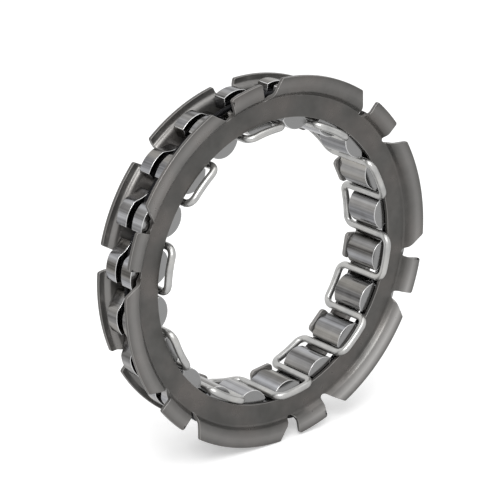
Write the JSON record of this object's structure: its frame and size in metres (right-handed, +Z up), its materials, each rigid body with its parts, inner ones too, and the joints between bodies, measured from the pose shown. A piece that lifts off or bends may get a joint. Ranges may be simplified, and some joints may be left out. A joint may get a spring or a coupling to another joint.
{
  "type": "starter clutch",
  "caption": "One-way sprag clutch insert: sprags between two lugged sheet steel end rings, held by a serpentine wire spring and a garter spring.",
  "frame": {"origin": "centre of the insert, on its axis, halfway between the ends of the serpentine spring", "axes": "+Z up with the insert standing on its edge, Y along the insert's axis, the larger front ring towards -Y"},
  "size_m": [0.0804, 0.0148, 0.0804],
  "materials": {
    "ring_steel": "phosphated spring sheet, satin",
    "sprag_steel": "ground bearing steel",
    "wire_steel": "bright drawn wire",
    "coil_steel": "dark coil"
  },
  "bodies": {
    "cage": {"front_ring": "ring_steel", "back_ring": "ring_steel", "serpentine_spring": "wire_steel", "garter_spring": "coil_steel"},
    "sprag_01": {"sprag_01": "sprag_steel"},
    "sprag_02": {"sprag_02": "sprag_steel"},
    "sprag_03": {"sprag_03": "sprag_steel"},
    "sprag_04": {"sprag_04": "sprag_steel"},
    "sprag_05": {"sprag_05": "sprag_steel"},
    "sprag_06": {"sprag_06": "sprag_steel"},
    "sprag_07": {"sprag_07": "sprag_steel"},
    "sprag_08": {"sprag_08": "sprag_steel"},
    "sprag_09": {"sprag_09": "sprag_steel"},
    "sprag_10": {"sprag_10": "sprag_steel"},
    "sprag_11": {"sprag_11": "sprag_steel"},
    "sprag_12": {"sprag_12": "sprag_steel"},
    "sprag_13": {"sprag_13": "sprag_steel"},
    "sprag_14": {"sprag_14": "sprag_steel"},
    "sprag_15": {"sprag_15": "sprag_steel"},
    "sprag_16": {"sprag_16": "sprag_steel"},
    "sprag_17": {"sprag_17": "sprag_steel"},
    "sprag_18": {"sprag_18": "sprag_steel"},
    "sprag_19": {"sprag_19": "sprag_steel"},
    "sprag_20": {"sprag_20": "sprag_steel"}
  },
  "joints": [
    {"name": "sprag_01_tilt", "type": "hinge", "parent": "cage", "child": "sprag_01", "pos_m": [0.00443, 0, 0.03078], "axis": [0, -1, 0], "range_deg": [-3, 3]},
    {"name": "sprag_02_tilt", "type": "hinge", "parent": "cage", "child": "sprag_02", "pos_m": [0.01372, 0, 0.02791], "axis": [0, -1, 0], "range_deg": [-3, 3]},
    {"name": "sprag_03_tilt", "type": "hinge", "parent": "cage", "child": "sprag_03", "pos_m": [0.02168, 0, 0.0223], "axis": [0, -1, 0], "range_deg": [-3, 3]},
    {"name": "sprag_04_tilt", "type": "hinge", "parent": "cage", "child": "sprag_04", "pos_m": [0.02751, 0, 0.01451], "axis": [0, -1, 0], "range_deg": [-3, 3]},
    {"name": "sprag_05_tilt", "type": "hinge", "parent": "cage", "child": "sprag_05", "pos_m": [0.03064, 0, 0.0053], "axis": [0, -1, 0], "range_deg": [-3, 3]},
    {"name": "sprag_06_tilt", "type": "hinge", "parent": "cage", "child": "sprag_06", "pos_m": [0.03078, 0, -0.00443], "axis": [0, -1, 0], "range_deg": [-3, 3]},
    {"name": "sprag_07_tilt", "type": "hinge", "parent": "cage", "child": "sprag_07", "pos_m": [0.02791, 0, -0.01372], "axis": [0, -1, 0], "range_deg": [-3, 3]},
    {"name": "sprag_08_tilt", "type": "hinge", "parent": "cage", "child": "sprag_08", "pos_m": [0.0223, 0, -0.02168], "axis": [0, -1, 0], "range_deg": [-3, 3]},
    {"name": "sprag_09_tilt", "type": "hinge", "parent": "cage", "child": "sprag_09", "pos_m": [0.01451, 0, -0.02751], "axis": [0, -1, 0], "range_deg": [-3, 3]},
    {"name": "sprag_10_tilt", "type": "hinge", "parent": "cage", "child": "sprag_10", "pos_m": [0.0053, 0, -0.03064], "axis": [0, -1, 0], "range_deg": [-3, 3]},
    {"name": "sprag_11_tilt", "type": "hinge", "parent": "cage", "child": "sprag_11", "pos_m": [-0.00443, 0, -0.03078], "axis": [0, -1, 0], "range_deg": [-3, 3]},
    {"name": "sprag_12_tilt", "type": "hinge", "parent": "cage", "child": "sprag_12", "pos_m": [-0.01372, 0, -0.02791], "axis": [0, -1, 0], "range_deg": [-3, 3]},
    {"name": "sprag_13_tilt", "type": "hinge", "parent": "cage", "child": "sprag_13", "pos_m": [-0.02168, 0, -0.0223], "axis": [0, -1, 0], "range_deg": [-3, 3]},
    {"name": "sprag_14_tilt", "type": "hinge", "parent": "cage", "child": "sprag_14", "pos_m": [-0.02751, 0, -0.01451], "axis": [0, -1, 0], "range_deg": [-3, 3]},
    {"name": "sprag_15_tilt", "type": "hinge", "parent": "cage", "child": "sprag_15", "pos_m": [-0.03064, 0, -0.0053], "axis": [0, -1, 0], "range_deg": [-3, 3]},
    {"name": "sprag_16_tilt", "type": "hinge", "parent": "cage", "child": "sprag_16", "pos_m": [-0.03078, 0, 0.00443], "axis": [0, -1, 0], "range_deg": [-3, 3]},
    {"name": "sprag_17_tilt", "type": "hinge", "parent": "cage", "child": "sprag_17", "pos_m": [-0.02791, 0, 0.01372], "axis": [0, -1, 0], "range_deg": [-3, 3]},
    {"name": "sprag_18_tilt", "type": "hinge", "parent": "cage", "child": "sprag_18", "pos_m": [-0.0223, 0, 0.02168], "axis": [0, -1, 0], "range_deg": [-3, 3]},
    {"name": "sprag_19_tilt", "type": "hinge", "parent": "cage", "child": "sprag_19", "pos_m": [-0.01451, 0, 0.02751], "axis": [0, -1, 0], "range_deg": [-3, 3]},
    {"name": "sprag_20_tilt", "type": "hinge", "parent": "cage", "child": "sprag_20", "pos_m": [-0.0053, 0, 0.03064], "axis": [0, -1, 0], "range_deg": [-3, 3]}
  ],
  "couplings": [
    {"joint": "sprag_02_tilt", "follows": "sprag_01_tilt", "ratio": 1},
    {"joint": "sprag_03_tilt", "follows": "sprag_01_tilt", "ratio": 1},
    {"joint": "sprag_04_tilt", "follows": "sprag_01_tilt", "ratio": 1},
    {"joint": "sprag_05_tilt", "follows": "sprag_01_tilt", "ratio": 1},
    {"joint": "sprag_06_tilt", "follows": "sprag_01_tilt", "ratio": 1},
    {"joint": "sprag_07_tilt", "follows": "sprag_01_tilt", "ratio": 1},
    {"joint": "sprag_08_tilt", "follows": "sprag_01_tilt", "ratio": 1},
    {"joint": "sprag_09_tilt", "follows": "sprag_01_tilt", "ratio": 1},
    {"joint": "sprag_10_tilt", "follows": "sprag_01_tilt", "ratio": 1},
    {"joint": "sprag_11_tilt", "follows": "sprag_01_tilt", "ratio": 1},
    {"joint": "sprag_12_tilt", "follows": "sprag_01_tilt", "ratio": 1},
    {"joint": "sprag_13_tilt", "follows": "sprag_01_tilt", "ratio": 1},
    {"joint": "sprag_14_tilt", "follows": "sprag_01_tilt", "ratio": 1},
    {"joint": "sprag_15_tilt", "follows": "sprag_01_tilt", "ratio": 1},
    {"joint": "sprag_16_tilt", "follows": "sprag_01_tilt", "ratio": 1},
    {"joint": "sprag_17_tilt", "follows": "sprag_01_tilt", "ratio": 1},
    {"joint": "sprag_18_tilt", "follows": "sprag_01_tilt", "ratio": 1},
    {"joint": "sprag_19_tilt", "follows": "sprag_01_tilt", "ratio": 1},
    {"joint": "sprag_20_tilt", "follows": "sprag_01_tilt", "ratio": 1}
  ]
}
